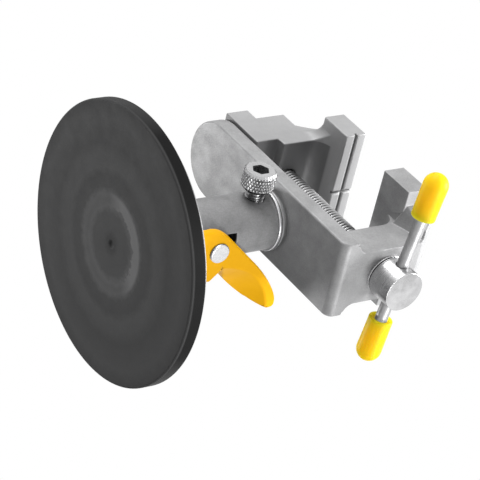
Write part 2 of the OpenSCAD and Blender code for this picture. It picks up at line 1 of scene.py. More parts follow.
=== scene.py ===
# %% [markdown]
# # A small bench vise on a suction base
# The object is a swivelling vise whose rubber pad is pulled hollow by a cam lever. The packed
# construction model gives every size and place, so this script only dresses it: it rounds the
# edges that a casting or a turned part has, cuts the threads and the knurl, and builds the
# finishes from procedural nodes. Units are metres, +Z runs up the post and +X along the screw.

import json
import math

import bmesh
import bpy
from mathutils import Matrix, Quaternion, Vector


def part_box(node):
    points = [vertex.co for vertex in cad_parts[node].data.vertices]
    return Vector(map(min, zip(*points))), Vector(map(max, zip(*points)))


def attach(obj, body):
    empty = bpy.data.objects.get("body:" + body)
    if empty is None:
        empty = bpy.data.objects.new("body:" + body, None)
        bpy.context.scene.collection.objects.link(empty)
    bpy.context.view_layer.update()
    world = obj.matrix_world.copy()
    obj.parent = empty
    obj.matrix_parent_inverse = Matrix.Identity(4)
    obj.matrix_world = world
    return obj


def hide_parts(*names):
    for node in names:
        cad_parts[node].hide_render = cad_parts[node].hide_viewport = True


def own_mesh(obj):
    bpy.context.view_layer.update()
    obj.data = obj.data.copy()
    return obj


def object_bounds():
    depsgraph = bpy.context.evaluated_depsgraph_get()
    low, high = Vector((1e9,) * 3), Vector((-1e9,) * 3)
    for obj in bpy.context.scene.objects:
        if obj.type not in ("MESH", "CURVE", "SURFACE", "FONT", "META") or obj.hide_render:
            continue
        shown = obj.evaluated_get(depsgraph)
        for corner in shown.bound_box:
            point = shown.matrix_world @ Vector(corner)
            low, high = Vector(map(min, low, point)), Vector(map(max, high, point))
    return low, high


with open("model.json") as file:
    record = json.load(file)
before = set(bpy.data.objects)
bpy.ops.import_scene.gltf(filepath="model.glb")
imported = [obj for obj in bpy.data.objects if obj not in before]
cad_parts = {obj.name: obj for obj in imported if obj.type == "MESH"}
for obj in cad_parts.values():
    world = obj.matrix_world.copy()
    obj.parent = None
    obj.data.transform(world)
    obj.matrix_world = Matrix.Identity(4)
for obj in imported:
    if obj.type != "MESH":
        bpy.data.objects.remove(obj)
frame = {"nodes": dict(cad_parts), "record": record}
NODES = frame["nodes"]
cad_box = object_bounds()
MM = 0.001
print("parts:", len(NODES), "box in mm:", [round(v / MM, 1) for v in cad_box[1] - cad_box[0]])

# %% [markdown]
# ## Camera
# The photograph looks up from under the pad with a long lens, and the vise lies on its side in the
# picture. So the camera stands below the bench, is turned by its azimuth and elevation, and is
# then rolled until the post runs to the right.

# %% Camera
PHOTO_WIDTH = 480
FOCAL_PIXELS = 2362.1
CAMERA_PLACE = Vector((383.73, -297.07, -287.04)) * MM
VIEW_AZIMUTH = 51.76
VIEW_ELEVATION = -33.71
VIEW_ROLL = 80.31
SENSOR_WIDTH = 36.0
NEAREST_SEEN = 10 * MM

azimuth, elevation = math.radians(VIEW_AZIMUTH), math.radians(VIEW_ELEVATION)
towards_camera = Vector((
    math.sin(azimuth) * math.cos(elevation),
    -math.cos(azimuth) * math.cos(elevation),
    math.sin(elevation),
))
camera = bpy.data.objects.new("camera", bpy.data.cameras.new("camera"))
camera.data.sensor_width = SENSOR_WIDTH
camera.data.lens = FOCAL_PIXELS / PHOTO_WIDTH * SENSOR_WIDTH
camera.rotation_mode = "QUATERNION"
camera.location = CAMERA_PLACE
camera.rotation_quaternion = (-towards_camera).to_track_quat("-Z", "Y") @ Quaternion(
    (0, 0, 1), math.radians(VIEW_ROLL)
)
camera.data.clip_start = NEAREST_SEEN
bpy.context.scene.collection.objects.link(camera)
bpy.context.scene.camera = camera
print("lens in mm:", round(camera.data.lens, 1))

# %% [markdown]
# ## Sky
# The photograph has the flat white ground of a product picture. A white backdrop would light the
# object from all sides and wash it out. So a strength of 1 is kept for the rays that the camera,
# gloss and glass send out, while a much weaker sky lights the object and leaves the work to the
# lamps. Two small helpers, to add a node and to join two sockets, keep the node trees readable.

# %% Node helpers
def link(tree, source, target):
    """Joins two sockets of a node tree."""
    tree.links.new(source, target)
    return target


def add(tree, kind, **values):
    """Adds a node; each keyword value sets a property of it, or else an input."""
    node = tree.nodes.new(kind)
    for key, value in values.items():
        if key in node.bl_rna.properties:
            setattr(node, key, value)
        else:
            node.inputs[key.replace("_", " ")].default_value = value
    return node


# %% Sky
SKY_LIGHT = 0.27
world = bpy.data.worlds.new("sky")
bpy.context.scene.world = world
world.use_nodes = True
sky = world.node_tree
background = sky.nodes["Background"]
background.inputs["Color"].default_value = (1, 1, 1, 1)
paths = add(sky, "ShaderNodeLightPath")
seen = add(sky, "ShaderNodeMath", operation="ADD", use_clamp=True)
link(sky, paths.outputs["Is Camera Ray"], seen.inputs[0])
link(sky, paths.outputs["Is Glossy Ray"], seen.inputs[1])
seen_or_clear = add(sky, "ShaderNodeMath", operation="ADD", use_clamp=True)
link(sky, seen.outputs[0], seen_or_clear.inputs[0])
link(sky, paths.outputs["Is Transmission Ray"], seen_or_clear.inputs[1])
strength = add(sky, "ShaderNodeMapRange", To_Min=SKY_LIGHT, To_Max=1.0)
link(sky, seen_or_clear.outputs[0], strength.inputs["Value"])
link(sky, strength.outputs["Result"], background.inputs["Strength"])
print("sky light:", SKY_LIGHT)

# %% [markdown]
# ## Floor
# The vise stands on a pale bench, yet the camera looks up from below it. A floor with a hole would
# show from the side, so it is a whole disc that is solid from above, where it takes the shadow,
# and clear from its underside, where Backfacing picks the clear shader.

# %% Floor
FLOOR_SIZE = 3.0
FLOOR_GAP = 0.4 * MM
FLOOR_TONE = 0.82
floor_mesh = bmesh.new()
bmesh.ops.create_circle(floor_mesh, cap_ends=True, segments=96, radius=FLOOR_SIZE / 2)
bmesh.ops.translate(floor_mesh, verts=floor_mesh.verts, vec=(0, 0, -FLOOR_GAP))
floor_data = bpy.data.meshes.new("floor")
floor_mesh.to_mesh(floor_data)
floor = bpy.data.objects.new("floor", floor_data)
bpy.context.scene.collection.objects.link(floor)
floor.visible_shadow = floor.visible_diffuse = floor.visible_glossy = False

floor_material = bpy.data.materials.new("pale_floor")
floor_material.use_nodes = True
tree = floor_material.node_tree
dull = tree.nodes["Principled BSDF"]
dull.inputs["Base Color"].default_value = (FLOOR_TONE, FLOOR_TONE, FLOOR_TONE, 1)
dull.inputs["Roughness"].default_value = 0.9
one_sided = add(tree, "ShaderNodeMixShader")
side = add(tree, "ShaderNodeNewGeometry")
clear = add(tree, "ShaderNodeBsdfTransparent")
link(tree, side.outputs["Backfacing"], one_sided.inputs[0])
link(tree, dull.outputs[0], one_sided.inputs[1])
link(tree, clear.outputs[0], one_sided.inputs[2])
link(tree, one_sided.outputs[0], tree.nodes["Material Output"].inputs["Surface"])
floor_data.materials.append(floor_material)
print("floor across in m:", FLOOR_SIZE)

# %% [markdown]
# ## Lamps
# Product light is soft and comes from a few large squares. The key lamp stands beside the jaws, one
# below lights the pad, one faces the handle's end and one looks down between the jaws. Each line
# gives the direction from the object, the distance and size in metres and the power in watts.

# %% Lamps
CENTRE = (cad_box[0] + cad_box[1]) / 2


def aimed(body, towards, distance):
    """Puts a lamp or card at a distance in a direction from the object's middle, facing it."""
    direction = Vector(towards).normalized()
    body.location = CENTRE + direction * distance
    body.rotation_mode = "QUATERNION"
    body.rotation_quaternion = (-direction).to_track_quat("-Z", "Y")
    bpy.context.scene.collection.objects.link(body)
    return body


def lamp(name, towards, distance, size, power):
    """A square soft lamp."""
    data = bpy.data.lights.new(name, "AREA")
    data.shape, data.size, data.energy = "SQUARE", size, power
    return aimed(bpy.data.objects.new(name, data), towards, distance)


lamp("key_lamp", (-0.35, -1.0, -0.05), 0.9, 0.5, 7.6)
lamp("under_lamp", (-0.75, 0.3, -0.5), 1.0, 0.3, 5.4)
lamp("end_lamp", (1.0, 0.28, 0.1), 1.0, 0.35, 7.5)
lamp("top_lamp", (0.5, -0.1, 1.0), 0.9, 0.35, 15.0)

# %% [markdown]
# ### Dark cards
# Bright metal in an all-white room looks like paper. Photographers stand dark cards just out of
# view, so that the metal has something dark to mirror. These are seen by reflections only.

# %% Dark cards
def card(name, towards, distance, width, height, tone):
    """A card that only glossy rays see."""
    shape = bmesh.new()
    bmesh.ops.create_grid(shape, x_segments=1, y_segments=1, size=0.5)
    bmesh.ops.scale(shape, verts=shape.verts, vec=(width, height, 1))
    data = bpy.data.meshes.new(name)
    shape.to_mesh(data)
    paper = bpy.data.materials.new(name)
    paper.use_nodes = True
    shader = paper.node_tree.nodes["Principled BSDF"]
    shader.inputs["Base Color"].default_value = (tone, tone, tone, 1)
    shader.inputs["Roughness"].default_value = 1.0
    data.materials.append(paper)
    body = aimed(bpy.data.objects.new(name, data), towards, distance)
    body.visible_camera = body.visible_diffuse = body.visible_shadow = False
    body.visible_transmission = body.visible_volume_scatter = False


card("card_under", (-0.55, 0.6, -0.6), 0.5, 0.8, 0.6, 0.03)
card("card_low", (-0.65, -0.2, -0.72), 0.6, 0.12, 0.9, 0.04)
card("card_side", (-1.0, 0.25, 0.5), 0.6, 0.3, 0.9, 0.05)

# %% [markdown]
# ## Finishes
# Each effect that several finishes share is a node group, built once and placed in each material
# with its own values. They read Object coordinates in metres, so a scale of 1000 makes a feature of
# a millimetre. The helpers below build a group, mix two colours, do one sum, and stretch a value
# from one range to another.

# %% Group helpers
def node_group(name, inputs, outputs):
    """An empty shader group. Inputs are (name, kind, default), outputs are (name, kind)."""
    group = bpy.data.node_groups.new(name, "ShaderNodeTree")
    for label, kind, default in inputs:
        socket = group.interface.new_socket(label, in_out="INPUT", socket_type="NodeSocket" + kind)
        socket.default_value = default
    for label, kind in outputs:
        group.interface.new_socket(label, in_out="OUTPUT", socket_type="NodeSocket" + kind)
    return group, group.nodes.new("NodeGroupInput"), group.nodes.new("NodeGroupOutput")


# %% Colours, sums and ranges
def mix_colour(tree, factor, low, high):
    """Mixes two colours, each a socket or an (r, g, b, 1) value, by a factor socket."""
    node = add(tree, "ShaderNodeMix", data_type="RGBA")
    link(tree, factor, node.inputs["Factor"])
    for slot, colour in ((6, low), (7, high)):
        if isinstance(colour, tuple):
            node.inputs[slot].default_value = colour
        else:
            link(tree, colour, node.inputs[slot])
    return node.outputs[2]


def maths(tree, operation, first, second):
    """A Math node on two operands, each a socket or a number."""
    node = add(tree, "ShaderNodeMath", operation=operation)
    for slot, value in ((0, first), (1, second)):
        if isinstance(value, (int, float)):
            node.inputs[slot].default_value = value
        else:
            link(tree, value, node.inputs[slot])
    return node.outputs[0]


def spread(tree, value, low, high, to_low=0.0, to_high=1.0):
    """Stretches a value from one range to another and clamps it."""
    node = add(
        tree, "ShaderNodeMapRange", From_Min=low, From_Max=high, To_Min=to_low, To_Max=to_high
    )
    link(tree, value, node.inputs["Value"])
    return node.outputs["Result"]


# %% [markdown]
# ### Cast skin
# No cast, painted or moulded skin is one even colour. Two noises are mixed: wide soft blotches, as
# from handling and oil, and a fine grain. The grain is also the height that the bump reads.

# %% Cast skin
BLOTCH_SHARE = 0.62
BLOTCH_RELIEF = 0.35
BLOTCH_RANGE = (0.36, 0.66)
GRAIN_RANGE = (0.34, 0.68)
skin, skin_in, skin_out = node_group(
    "Cast Skin",
    [("Pale", "Color", (0.6, 0.6, 0.6, 1)), ("Dark", "Color", (0.4, 0.4, 0.4, 1)),
     ("Blotch Scale", "Float", 160.0), ("Grain Scale", "Float", 3200.0)],
    [("Color", "Color"), ("Shade", "Float"), ("Height", "Float")],
)
place = add(skin, "ShaderNodeTexCoord")
blotch = add(skin, "ShaderNodeTexNoise", Detail=5.0, Roughness=0.62)
link(skin, place.outputs["Object"], blotch.inputs["Vector"])
link(skin, skin_in.outputs["Blotch Scale"], blotch.inputs["Scale"])
grain = add(skin, "ShaderNodeTexNoise", Detail=3.0, Roughness=0.55)
link(skin, place.outputs["Object"], grain.inputs["Vector"])
link(skin, skin_in.outputs["Grain Scale"], grain.inputs["Scale"])
wide = spread(skin, blotch.outputs[0], *BLOTCH_RANGE)
fine = spread(skin, grain.outputs[0], *GRAIN_RANGE)
shade = maths(skin, "ADD", maths(skin, "MULTIPLY", wide, BLOTCH_SHARE),
              maths(skin, "MULTIPLY", fine, 1 - BLOTCH_SHARE))
link(skin, mix_colour(skin, shade, skin_in.outputs["Dark"], skin_in.outputs["Pale"]),
     skin_out.inputs["Color"])
link(skin, shade, skin_out.inputs["Shade"])
link(skin, maths(skin, "ADD", maths(skin, "MULTIPLY", wide, BLOTCH_RELIEF), fine),
     skin_out.inputs["Height"])
print("cast skin nodes:", len(skin.nodes))

# %% [markdown]
# ### Hairlines
# Turning and drawing leave fine parallel marks on steel. A noise that is stretched along the marks
# gives them: its scale is small along a mark and large across it.

# %% Hairlines
LINE_RANGE = (0.42, 0.62)
hairline, hair_in, hair_out = node_group(
    "Hairlines",
    [("Stretch", "Vector", (60.0, 2600.0, 2600.0)), ("Amount", "Float", 1.0)],
    [("Mask", "Float")],
)
place = add(hairline, "ShaderNodeTexCoord")
stretch = add(hairline, "ShaderNodeVectorMath", operation="MULTIPLY")
link(hairline, place.outputs["Object"], stretch.inputs[0])
link(hairline, hair_in.outputs["Stretch"], stretch.inputs[1])
lines = add(hairline, "ShaderNodeTexNoise", Scale=1.0, Detail=4.0, Roughness=0.7)
link(hairline, stretch.outputs[0], lines.inputs["Vector"])
lines_mask = spread(hairline, lines.outputs[0], *LINE_RANGE)
link(hairline, maths(hairline, "MULTIPLY", lines_mask, hair_in.outputs["Amount"]),
     hair_out.inputs["Mask"])
print("hairline nodes:", len(hairline.nodes))

# %% [markdown]
# ### Edge wear and painted highlight
# Handling polishes a casting at its edges, and the brighter edges are also a painted highlight. A
# Bevel node bends the normal near an edge, so where the bent normal and the true one disagree there
# is an edge. A noise breaks the mask up.

# %% Edge wear and painted highlight
BENT_RANGE = (0.985, 0.86)
GAP_RANGE = (0.62, 0.4)
edges, edges_in, edges_out = node_group(
    "Edge Wear And Highlight", [("Radius", "Float", 0.5 * MM), ("Patchiness", "Float", 0.4)], [("Mask", "Float")]
)
softened = add(edges, "ShaderNodeBevel", samples=6)
link(edges, edges_in.outputs["Radius"], softened.inputs["Radius"])
facing = add(edges, "ShaderNodeNewGeometry")
agree = add(edges, "ShaderNodeVectorMath", operation="DOT_PRODUCT")
link(edges, softened.outputs[0], agree.inputs[0])
link(edges, facing.outputs["Normal"], agree.inputs[1])
rim = spread(edges, agree.outputs["Value"], *BENT_RANGE)
place = add(edges, "ShaderNodeTexCoord")
patches = add(edges, "ShaderNodeTexNoise", Scale=700.0, Detail=4.0)
link(edges, place.outputs["Object"], patches.inputs["Vector"])
gaps = maths(edges, "MULTIPLY", spread(edges, patches.outputs[0], *GAP_RANGE),
             edges_in.outputs["Patchiness"])
link(edges, maths(edges, "SUBTRACT", rim, maths(edges, "MULTIPLY", rim, gaps)),
     edges_out.inputs["Mask"])
print("groups:", [g.name for g in bpy.data.node_groups])

# %% [markdown]
# ### Helpers for materials
# A finish starts from the Principled shader. What is the same all over is set on its own sockets,
# and what changes comes from nodes: a group placed with the finish's own values, and a height that
# bends the normal, which is cheaper than real relief and enough for a grain this fine.

# %% Material helpers
def grey(level):
    """A neutral colour."""
    return (level, level, level * 1.01, 1)


def finish(name, **constants):
    """A material with constants on the shader's own sockets; returns it, its tree and shader."""
    material = bpy.data.materials.new(name)
    material.use_nodes = True
    shader = material.node_tree.nodes["Principled BSDF"]
    for label, value in constants.items():
        shader.inputs[label.replace("_", " ")].default_value = value
    return material, material.node_tree, shader


def use_group(tree, group, **values):
    """Places a node group in a material and sets its inputs."""
    node = add(tree, "ShaderNodeGroup")
    node.node_tree = group
    for label, value in values.items():
        node.inputs[label.replace("_", " ")].default_value = value
    return node


def bump(tree, shader, height, depth):
    """Feeds a height in units of depth, in metres, to the shader's normal."""
    node = add(tree, "ShaderNodeBump", Strength=1.0, Distance=depth)
    link(tree, height, node.inputs["Height"])
    link(tree, node.outputs[0], shader.inputs["Normal"])


# %% [markdown]
# ### Cast metal
# The bell, frame and jaws are cast in a light alloy and tumbled: a satin grey with soft blotches,
# a fine grain, and brighter edges, partly worn and partly a painted highlight. Most of the shading
# is diffuse, because tumbled metal spreads light widely, so the metallic share is kept low.

# %% Cast metal
EDGE_WEAR_AND_HIGHLIGHT_SHARE = 0.4
EDGE_WEAR_AND_HIGHLIGHT_BRIGHTER = 1.3
ROUGH_SPREAD = 0.08


def cast_finish(name, pale, dark, grain, depth, rough):
    """Tumbled cast metal; grain is how many grains go to a metre, and depth is their relief."""
    material, tree, shader = finish(name, Metallic=0.18, IOR=1.5, Specular_IOR_Level=0.25)
    coat = use_group(tree, skin, Pale=grey(pale), Dark=grey(dark), Grain_Scale=grain)
    worn = use_group(tree, edges, Radius=0.45 * MM, Patchiness=0.55)
    # The edges are painted brighter: partly wear, partly a painted highlight.
    colour = mix_colour(tree, maths(tree, "MULTIPLY", worn.outputs[0], EDGE_WEAR_AND_HIGHLIGHT_SHARE),
                        coat.outputs["Color"], grey(pale * EDGE_WEAR_AND_HIGHLIGHT_BRIGHTER))
    link(tree, colour, shader.inputs["Base Color"])
    dull, smooth = rough + ROUGH_SPREAD, rough - ROUGH_SPREAD
    link(tree, spread(tree, coat.outputs["Shade"], 0.0, 1.0, dull, smooth),
         shader.inputs["Roughness"])
    bump(tree, shader, coat.outputs["Height"], depth)
    return material


cast_rough = cast_finish("cast_metal_rough", 0.42, 0.28, 2600.0, 0.016 * MM, 0.46)
print("finish:", cast_rough.name)

# %% [markdown]
# Some places are painted darker than the rest, as painted shade: a bore, a groove or a thread's
# roots. A mask that is 1 where the finish stays and 0 where it is dark mixes the colour towards a
# dark grey. The bores and the slot of the post are left as cast and painted nearly black, as
# painted shade. They all lie near the Z axis, so the distance from it is their mask.

# %% Mask helpers
def from_axis(tree, point, direction):
    """Distance from the axis that runs through point in a direction of length 1."""
    where = add(tree, "ShaderNodeTexCoord")
    moved = add(tree, "ShaderNodeVectorMath", operation="SUBTRACT")
    moved.inputs[1].default_value = point
    link(tree, where.outputs["Object"], moved.inputs[0])
    across = add(tree, "ShaderNodeVectorMath", operation="CROSS_PRODUCT")
    across.inputs[1].default_value = direction
    link(tree, moved.outputs[0], across.inputs[0])
    length = add(tree, "ShaderNodeVectorMath", operation="LENGTH")
    link(tree, across.outputs[0], length.inputs[0])
    return length.outputs["Value"]


def darken(tree, lit, level):
    """Where lit falls to 0, mixes the base colour towards a dark grey."""
    socket = tree.nodes["Principled BSDF"].inputs["Base Color"]
    colour = socket.links[0].from_socket
    link(tree, mix_colour(tree, lit, grey(level), colour), socket)


# %% Bored casting
BORED_RADIUS = 7.1 * MM
BORED_FADE = 0.3 * MM
cast_bored = cast_finish("cast_metal_bored", 0.30, 0.19, 2600.0, 0.016 * MM, 0.46)
tree = cast_bored.node_tree
from_post = from_axis(tree, (0, 0, 0), (0, 0, 1))
# Painted shade: the bores and the slot inside the post are darkened nearly to black.
darken(tree, spread(tree, from_post, BORED_RADIUS, BORED_RADIUS + BORED_FADE), 0.02)
print("finish:", cast_bored.name)

# %% [markdown]
# ### Steel
# Turned and plated steel are fully metallic and differ in roughness and in the direction of
# their fine marks: along a drawn bar, round a turned screw.

# %% Steel
MARK_SHARE = 0.35
MARK_DARKER = 0.8
MARK_ROUGHER = 0.14


def steel_finish(name, pale, dark, rough, stretch, depth):
    """Bare or plated steel; its hairlines run along the directions that are small in stretch."""
    material, tree, shader = finish(name, Metallic=1.0)
    marks = use_group(tree, hairline, Stretch=stretch)
    tint = use_group(tree, skin, Pale=grey(pale), Dark=grey(dark), Blotch_Scale=260.0)
    marked = mix_colour(tree, maths(tree, "MULTIPLY", marks.outputs[0], MARK_SHARE),
                        tint.outputs["Color"], grey(dark * MARK_DARKER))
    link(tree, marked, shader.inputs["Base Color"])
    link(tree, spread(tree, marks.outputs[0], 0.0, 1.0, rough, rough + MARK_ROUGHER),
         shader.inputs["Roughness"])
    bump(tree, shader, marks.outputs[0], depth)
    return material


EVEN = (1800.0, 1800.0, 1800.0)
ACROSS_X = (3200.0, 120.0, 120.0)
ALONG_Y = (2600.0, 90.0, 2600.0)
plated_steel = steel_finish("plated_steel", 0.74, 0.66, 0.2, EVEN, 0.001 * MM)
turned_steel = steel_finish("turned_steel", 0.62, 0.44, 0.24, ACROSS_X, 0.006 * MM)
drawn_steel = steel_finish("drawn_steel", 0.44, 0.30, 0.42, ALONG_Y, 0.003 * MM)
spring_steel = steel_finish("spring_steel", 0.24, 0.15, 0.35, EVEN, 0.004 * MM)
print("steels:", [m.name for m in bpy.data.materials if m.name.endswith("_steel")])

# %% [markdown]
# ### Rubber
# The pad's face is smooth moulded rubber with faint paler rings, left by the disc moulded behind
# it and by use. The rings follow the radius, so the distance from the Z axis drives a colour ramp.
# A little noise is added to the radius first, so that no ring is a perfect circle.

# %% Rings in the rubber
RING_WOBBLE = 0.10
RING_STOPS = (
    (0.0, 0.037), (0.05, 0.050), (0.10, 0.072), (0.22, 0.074), (0.27, 0.112), (0.31, 0.098),
    (0.35, 0.108), (0.40, 0.066), (0.48, 0.060), (0.54, 0.079), (0.62, 0.074), (0.70, 0.059),
    (0.88, 0.072), (1.0, 0.052),
)
DUST_SHARE = 0.06
pad_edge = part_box("suction_pad")[1].x
rubber, tree, shader = finish("black_rubber", Specular_IOR_Level=0.06)
place = add(tree, "ShaderNodeTexCoord")
pad_distance = from_axis(tree, (0, 0, 0), (0, 0, 1))
pad_share = maths(tree, "DIVIDE", pad_distance, pad_edge)


def uneven(noise, amount):
    """The radius in shares of the pad's, made uneven by a noise."""
    link(tree, place.outputs["Object"], noise.inputs["Vector"])
    shift = maths(tree, "MULTIPLY", maths(tree, "SUBTRACT", noise.outputs[0], 0.5), amount)
    return maths(tree, "ADD", pad_share, shift)


rings = add(tree, "ShaderNodeValToRGB")
ramp = rings.color_ramp
for stop, level in RING_STOPS[1:-1]:
    ramp.elements.new(stop).color = grey(level)
ramp.elements[0].color = grey(RING_STOPS[0][1])
ramp.elements[-1].color = grey(RING_STOPS[-1][1])
wobble = add(tree, "ShaderNodeTexNoise", Scale=420.0, Detail=5.0, Roughness=0.7)
link(tree, uneven(wobble, RING_WOBBLE), rings.inputs[0])
dust = use_group(tree, skin, Pale=grey(1.0), Dark=grey(0.0), Blotch_Scale=240.0, Grain_Scale=5200.0)
dusty = mix_colour(tree, maths(tree, "MULTIPLY", dust.outputs["Shade"], DUST_SHARE),
                   rings.outputs[0], grey(0.12))
link(tree, spread(tree, dust.outputs["Shade"], 0.0, 1.0, 0.55, 0.7), shader.inputs["Roughness"])
bump(tree, shader, dust.outputs["Height"], 0.010 * MM)
print("ring stops:", len(RING_STOPS))

# %% [markdown]
# The ring over the moulded disc is worn paler on one side, with a ragged inner edge. The worn patch
# is where three masks overlap: outside a ragged inner radius, inside an outer one, and on one side.
# The helpers measure a place along a direction, along an axis or off a middle, and join two masks.

# %% Helpers for sides
def along(tree, coordinates, direction):
    """How far a point lies in a direction from the origin."""
    node = add(tree, "ShaderNodeVectorMath", operation="DOT_PRODUCT")
    node.inputs[1].default_value = direction
    link(tree, coordinates, node.inputs[0])
    return node.outputs["Value"]


def coordinate(tree, axis):
    """One of the object's own coordinates, in metres."""
    where = add(tree, "ShaderNodeTexCoord")
    parts = add(tree, "ShaderNodeSeparateXYZ")
    link(tree, where.outputs["Object"], parts.inputs[0])
    return parts.outputs[axis]


def highest_of(tree, first, second):
    """The larger of two masks."""
    return maths(tree, "MAXIMUM", first, second)


def off_middle(tree, value, middle=0.0):
    """How far a value lies from a middle, on either side."""
    moved = maths(tree, "SUBTRACT", value, middle) if middle else value
    return maths(tree, "ABSOLUTE", moved, 0.0)


# %% Worn patch, and painted shade and sheen on the pad's side
TORN_WOBBLE = 0.16
PATCH_INNER = (0.265, 0.28)
PATCH_OUTER = (0.37, 0.345)
PATCH_SIDE = (2.0 * MM, 7.0 * MM)
PATCH_SHARE = 0.85
WORN_WAY = (0.84, -0.54, 0)
SHEEN_WAY = (-0.5, -0.87, 0)
FACE_FADE = (0.9 * MM, 0.4 * MM)
SHEEN_FADE = (0.74 * pad_edge, 1.05 * pad_edge)
torn = add(tree, "ShaderNodeTexNoise", Scale=700.0, Detail=4.0, Roughness=0.65)
outside = spread(tree, uneven(torn, TORN_WOBBLE), *PATCH_INNER)
inside = spread(tree, pad_share, *PATCH_OUTER)
one_side = spread(tree, along(tree, place.outputs["Object"], WORN_WAY), *PATCH_SIDE)
patch = maths(tree, "MULTIPLY", maths(tree, "MULTIPLY", outside, inside), one_side)
worn = mix_colour(tree, maths(tree, "MULTIPLY", patch, PATCH_SHARE), dusty, grey(0.19))
link(tree, worn, shader.inputs["Base Color"])

# The pad's side is painted dark as painted shade, with a painted sheen where it faces one way or
# the opposite one
sideways = off_middle(tree, along(tree, place.outputs["Object"], SHEEN_WAY))
painted_sheen_sides = spread(tree, sideways, *SHEEN_FADE)
on_face = spread(tree, coordinate(tree, "Z"), *FACE_FADE)
darken(tree, highest_of(tree, on_face, painted_sheen_sides), 0.007)
print("rubber nodes:", len(tree.nodes))

# %% [markdown]
# ### Yellow paint and vinyl
# The lever is coated in amber, the caps in a lemonier dipped vinyl. Both are smooth and satin
# with a slight orange peel, and carry a little colour drift so that they don't look like flat
# paint. Light also enters the vinyl and comes out again nearby, which evens its shading.

# %% Yellow finishes
YELLOW_DULL = 0.47
YELLOW_SMOOTH = 0.37


def yellow_finish(name, bright, deep, peel):
    """A coloured coat with a faint orange peel."""
    material, tree, shader = finish(name, Specular_IOR_Level=0.08)
    drift = use_group(tree, skin, Pale=bright, Dark=deep, Blotch_Scale=120.0, Grain_Scale=900.0)
    link(tree, drift.outputs["Color"], shader.inputs["Base Color"])
    link(tree, spread(tree, drift.outputs["Shade"], 0.0, 1.0, YELLOW_DULL, YELLOW_SMOOTH),
         shader.inputs["Roughness"])
    bump(tree, shader, drift.outputs["Height"], peel)
    return material


amber_paint = yellow_finish(
    "amber_paint", (0.90, 0.46, 0.006, 1), (0.86, 0.425, 0.005, 1), 0.006 * MM
)
cap_vinyl = yellow_finish("cap_vinyl", (1.0, 0.57, 0.014, 1), (1.0, 0.53, 0.011, 1), 0.008 * MM)
vinyl = cap_vinyl.node_tree.nodes["Principled BSDF"]
vinyl.inputs["Subsurface Weight"].default_value = 1.0
vinyl.inputs["Subsurface Radius"].default_value = (1.0, 0.9, 0.4)
vinyl.inputs["Subsurface Scale"].default_value = 9 * MM
print("yellows:", amber_paint.name, cap_vinyl.name)

# %% [markdown]
# ## Rounding the parts
# The construction model has knife edges. A real casting is rounded everywhere and a turned part
# has small chamfers, and those narrow bands catch the light. A copy of each part's mesh is
# merged into whole faces and its sharp edges are bevelled.
#
# Every new piece ends the same way. It becomes an object at the origin, is shaded smooth except
# over its sharp edges, takes the place of its construction part, and rides on the same body.

# %% Showing a piece
def show(name, shape, material, body, replaces, smooth=35.0):
    """Makes an object of a bmesh, shades it smooth below an angle, and hands it to its body."""
    mesh = bpy.data.meshes.new(name)
    shape.to_mesh(mesh)
    shape.free()
    mesh.materials.clear()
    mesh.materials.append(material)
    mesh.shade_smooth()
    mesh.set_sharp_from_angle(angle=math.radians(smooth))
    piece = bpy.data.objects.new(name, mesh)
    bpy.context.scene.collection.objects.link(piece)
    even = piece.modifiers.new("even_shading", "WEIGHTED_NORMAL")
    even.keep_sharp = True
    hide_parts(*replaces)
    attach(piece, body)
    print(name, "faces:", len(mesh.polygons))
    return piece


# %% Whole faces
MERGE = 0.002 * MM
FLAT_ANGLE = 0.6


def merged(node, axes=(1,)):
    """A bmesh of a construction part, with its triangles joined into whole faces.

    A face with a hole in it bevels badly, so the part is first cut in two through its holes, across
    each of the given axes, and the cut edges are left when the triangles are joined.
    """
    shape = bmesh.new()
    shape.from_mesh(NODES[node].data)
    bmesh.ops.remove_doubles(shape, verts=shape.verts, dist=MERGE)
    for axis in axes:
        across = Vector((0, 0, 0))
        across[axis] = 1
        bmesh.ops.bisect_plane(
            shape, geom=shape.verts[:] + shape.edges[:] + shape.faces[:], dist=MERGE,
            plane_co=(0, 0, 0), plane_no=across,
        )
    cut = {v for v in shape.verts if any(abs(v.co[axis]) < MERGE for axis in axes)}
    bmesh.ops.dissolve_limit(
        shape, angle_limit=math.radians(FLAT_ANGLE), verts=[v for v in shape.verts if v not in cut],
        edges=[e for e in shape.edges if not (e.verts[0] in cut and e.verts[1] in cut)],
    )
    return shape


# %% Rounded edges
SHARP_ANGLE = 28.0


def round_edges(shape, width, where=None):
    """Bevels the sharp edges, or those of them that where picks by their middle."""
    sharp = [
        e for e in shape.edges
        if len(e.link_faces) == 2 and e.calc_face_angle(0.0) > math.radians(SHARP_ANGLE)
        and (where is None or where((e.verts[0].co + e.verts[1].co) / 2))
    ]
    bmesh.ops.bevel(
        shape, geom=sharp, offset=width, offset_type="OFFSET", segments=3, profile=0.5,
        affect="EDGES", material=-1, clamp_overlap=False,
    )
    return shape


def kept_inside(shape, node):
    """Puts corners that a bevel pushed out of the construction part's box back on its sides."""
    low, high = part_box(node)
    for vert in shape.verts:
        vert.co = [min(max(value, least), most) for value, least, most in zip(vert.co, low, high)]
    return shape


def body_of(node):
    """The body that a construction part rides on."""
    bodies = frame["record"]["behaviour"]["bodies"]
    return next(name for name, members in bodies.items() if node in members)


def rounded(node, material, width, axes=(1,)):
    """Shows a rounded copy in place of a construction part."""
    shape = kept_inside(round_edges(merged(node, axes), width), node)
    return show(node + "_rounded", shape, material, body_of(node), (node,))


# %% [markdown]
# ## Castings
# The clamping face of the moving jaw is ground, so it is the smooth casting, with painted shade in
# its two grooves. One groove lies level and one stands upright, so a height and a width find them.
# The body under the jaw is painted darker than its sides, as painted shade under the jaw.

# %% Jaw finish
GROOVE_WIDTH = 1.2 * MM
JAW_HEIGHT = 6.2 * MM
BODY_HALF = 11.1 * MM


